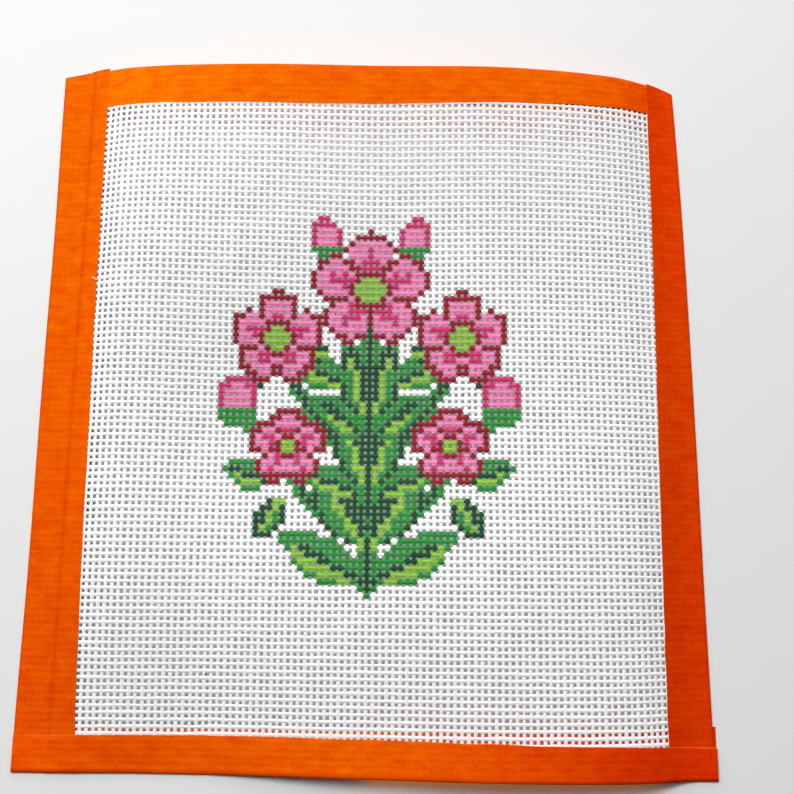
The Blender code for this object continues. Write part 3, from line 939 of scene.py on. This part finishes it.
def tapeMaterial(name):
    # woven tape: the canvas's grid shows through it faintly, most of all the threads across
    material, tree, shader = newMaterial(name + "_cloth", tapeCloth["roughness"])
    link = tree.links.new
    place, axes = tree.nodes.new("ShaderNodeTexCoord"), tree.nodes.new("ShaderNodeSeparateXYZ")
    link(place.outputs["Object"], axes.inputs[0])
    # each strip's orange from its ramp, which carries painted light and shade along the strip
    along = tree.nodes.new("ShaderNodeMapRange")
    link(axes.outputs[0 if name in ("tape_top", "tape_bottom") else 1], along.inputs["Value"])
    along.inputs["From Min"].default_value, along.inputs["From Max"].default_value = -0.1, 0.1
    blend = tree.nodes.new("ShaderNodeValToRGB")
    link(along.outputs["Result"], blend.inputs["Fac"])
    stops = blend.color_ramp.elements
    for i, (position, shade) in enumerate(tapeColoursWithPaintedShade[name]):
        stop = stops[i] if i < 2 else stops.new(position)
        stop.position = position
        stop.color = (*linear(shade), 1.0)
    mottle = placeGroup(tree, fibreMottle, Scale=tapeCloth["mottleScale"], Strength=tapeCloth["mottle"],
                        Stretch=tapeCloth["stretch"], Spread=tapeCloth["spread"])
    uv = tree.nodes.new("ShaderNodeUVMap")
    uv.uv_map = "cloth"
    split = tree.nodes.new("ShaderNodeSeparateXYZ")
    link(uv.outputs["UV"], split.inputs[0])
    colour = blend.outputs["Color"]
    if name == "tape_left":
        # painted shade: the cloth dips past the canvas's cut edge, and a darker streak is painted there for
        # the shade in that dip
        cutEdge = canvas["left"] / canvas["pitch"]
        away = mathNode(tree, "ABSOLUTE", mathNode(tree, "SUBTRACT", split.outputs[0], cutEdge))
        near = fadeOut(tree, away, tapeCloth["creaseShadeReach"])
        patchy = mathNode(tree, "MULTIPLY", mottle.outputs["Patches"], tapeCloth["creaseShadePatchy"])
        strength = mathNode(tree, "ADD", patchy, tapeCloth["creaseShadeEven"])
        colour = mixInto(tree, colour, tapeCloth["creasePaintedShade"], mathNode(tree, "MULTIPLY", near, strength))
    # painted shade, darker round the fold where the cloth turns under, and a painted highlight, paler at the
    # very edge of the flap
    edges = tree.nodes.new("ShaderNodeUVMap")
    edges.uv_map = "edges"
    distances = tree.nodes.new("ShaderNodeSeparateXYZ")
    link(edges.outputs["UV"], distances.inputs[0])
    foldReach, foldShadeStrength = tapeCloth["folds"].get(name, tapeCloth["otherFoldPaintedShades"])
    near = mathNode(tree, "MULTIPLY", fadeOut(tree, distances.outputs[0], foldReach), foldShadeStrength)
    colour = mixInto(tree, colour, tapeCloth["foldPaintedShade"], near)
    # the painted highlight along the flap's cut edge
    flapPaintedHighlight = tapeCloth["flapPaintedHighlight"].get(name, tapeCloth["otherFlapPaintedHighlight"])
    near = mathNode(tree, "MULTIPLY", fadeOut(tree, distances.outputs[1], tapeCloth["flapHighlightReach"]), flapPaintedHighlight)
    colour = mixInto(tree, colour, tapeCloth["flapHighlightColour"], near)
    link(colour, mottle.inputs["Colour"])
    link(mottle.outputs["Colour"], shader.inputs["Base Color"])
    rows = mathNode(tree, "MULTIPLY", waveAlong(tree, split.outputs[1]), tapeCloth["gridRows"])
    columns = mathNode(tree, "MULTIPLY", waveAlong(tree, split.outputs[0]), tapeCloth["gridColumns"])
    patches = mathNode(tree, "ADD", mottle.outputs["Patches"], tapeCloth["gridEven"])
    grid = mathNode(tree, "MULTIPLY", mathNode(tree, "ADD", rows, columns), patches)
    link(mathNode(tree, "MULTIPLY", grid, tapeCloth["gridTint"]), mottle.inputs["Extra"])
    weaveAcross = waveAlong(tree, split.outputs[0], "SINE", tapeCloth["weaveCount"])
    weaveUp = waveAlong(tree, split.outputs[1], "SINE", tapeCloth["weaveCount"])
    weave = mathNode(tree, "MULTIPLY", weaveAcross, weaveUp)
    threads = mathNode(tree, "MULTIPLY", weave, tapeCloth["weaveRelief"])
    fuzz = mathNode(tree, "MULTIPLY", mottle.outputs["Height"], tapeCloth["fuzz"])
    relief = mathNode(tree, "ADD", mathNode(tree, "ADD", grid, threads), fuzz)
    reliefFrom(tree, shader, relief, tapeCloth["relief"], tapeCloth["reliefDepth"])
    shader.inputs["Specular IOR Level"].default_value = 0.0  # cloth tape has no shine of its own
    return material


paleTable = {
    "colour": (0.81, 0.815, 0.805, 1.0),
    "roughness": 0.5,
    "specular": 0.2,
    "mottleScale": 4.0,
    "mottle": 0.02,
}


def makeTableMaterial():
    material, tree, shader = newMaterial("paleTable", paleTable["roughness"])
    mottle = placeGroup(tree, fibreMottle, Scale=paleTable["mottleScale"], Strength=paleTable["mottle"])
    mottle.inputs["Colour"].default_value = paleTable["colour"]
    tree.links.new(mottle.outputs["Colour"], shader.inputs["Base Color"])
    shader.inputs["Specular IOR Level"].default_value = paleTable["specular"]
    return material


# The table, the light and the camera.

room = {
    "floorSize": 3.0,  # metres
    "cameraPlace": (5.21, -49.82, 286.78),  # from the layout's origin on the middle plane
    "cameraTurn": (10.421, -0.698, 0.389),  # degrees about x, y and z
    "viewWidth": 794,  # the picture's width in pixels
    "focalPixels": 950,
    "keyPlace": (-0.34, 0.56, 0.90),  # metres
    "keyWide": 1.1,
    "keyHigh": 0.3,
    "keyPower": 10.7,
    "lowPlace": (-0.1, 1.1, 0.27),  # a window further off, whose light comes in under the raised top edge
    "lowWide": 1.5,
    "lowHigh": 0.35,
    "lowPower": 4.6,
    "glowPlace": (0.042, -0.1055, 0.0034),  # orange light that comes through the bottom strip
    "glowWide": 0.084,
    "glowHigh": 0.006,
    "glowPower": 0.0013,
    "glowColour": (1.0, 0.40, 0.04),
    "airColour": (0.98, 0.985, 1.0),
    "airStrength": 1.19,  # at the horizon behind the panel, fading to nothing before it
    "airFades": -0.15,
    "wallStrength": 0.75,
}


def layFloor():
    half = room["floorSize"] / 2 / mm
    points = np.array([(-half, -half, 0), (half, -half, 0), (half, half, 0), (-half, half, 0)], float)
    floor = meshFrom("floor", points, [np.array([[0, 1, 2, 3]])])
    floor.data.materials.append(makeTableMaterial())


def addAreaLight(kind, target, colour=(1, 1, 1)):
    # target is where the light points, in metres
    light = bpy.data.lights.new(kind + "Light", "AREA")
    light.shape, light.energy, light.color = "RECTANGLE", room[kind + "Power"], colour
    light.size, light.size_y = room[kind + "Wide"], room[kind + "High"]
    lamp = bpy.data.objects.new(kind + "Light", light)
    lamp.location = room[kind + "Place"]
    lamp.rotation_euler = (Vector(target) - lamp.location).to_track_quat("-Z", "Y").to_euler()
    bpy.context.collection.objects.link(lamp)


def lightRoom():
    addAreaLight("key", (0, 0, 0))
    addAreaLight("low", (0, 0, 0))
    x, y, z = room["glowPlace"]
    addAreaLight("glow", (x, y, z - 1), room["glowColour"])
    world = bpy.data.worlds.new("room")
    world.use_nodes = True
    background = world.node_tree.nodes["Background"]
    background.inputs["Color"].default_value = (*room["airColour"], 1.0)
    tree = world.node_tree
    direction, axes = tree.nodes.new("ShaderNodeTexCoord"), tree.nodes.new("ShaderNodeSeparateXYZ")
    tree.links.new(direction.outputs["Generated"], axes.inputs[0])
    strength = tree.nodes.new("ShaderNodeMapRange")
    tree.links.new(axes.outputs[1], strength.inputs["Value"])
    strength.inputs["From Min"].default_value = room["airFades"]
    strength.inputs["To Max"].default_value = room["airStrength"]
    # other views look past the table, at a plain pale wall
    rays, wall = tree.nodes.new("ShaderNodeLightPath"), tree.nodes.new("ShaderNodeMix")
    tree.links.new(rays.outputs["Is Camera Ray"], wall.inputs["Factor"])
    tree.links.new(strength.outputs["Result"], wall.inputs["A"])
    wall.inputs["B"].default_value = room["wallStrength"]
    tree.links.new(wall.outputs["Result"], background.inputs["Strength"])
    bpy.context.scene.world = world
    bpy.context.scene.view_settings.view_transform = "Standard"


def addCamera():
    lens = bpy.data.cameras.new("camera")
    lens.sensor_width = 36.0
    lens.lens = room["focalPixels"] / room["viewWidth"] * lens.sensor_width
    camera = bpy.data.objects.new("camera", lens)
    x, y, z = room["cameraPlace"]
    camera.location = Vector((x, y - lie["centreY"], z + lie["middlePlane"])) * mm
    camera.rotation_euler = Euler([math.radians(v) for v in room["cameraTurn"]], "XYZ")
    bpy.context.collection.objects.link(camera)
    bpy.context.scene.camera = camera


print("laying the floor and the light")
layFloor()
lightRoom()
addCamera()

print("weaving the canvas")
canvasMaterial = makeCanvasMaterial()
weaveCanvas()

print("folding the tape over the edges")
foldAllStrips()
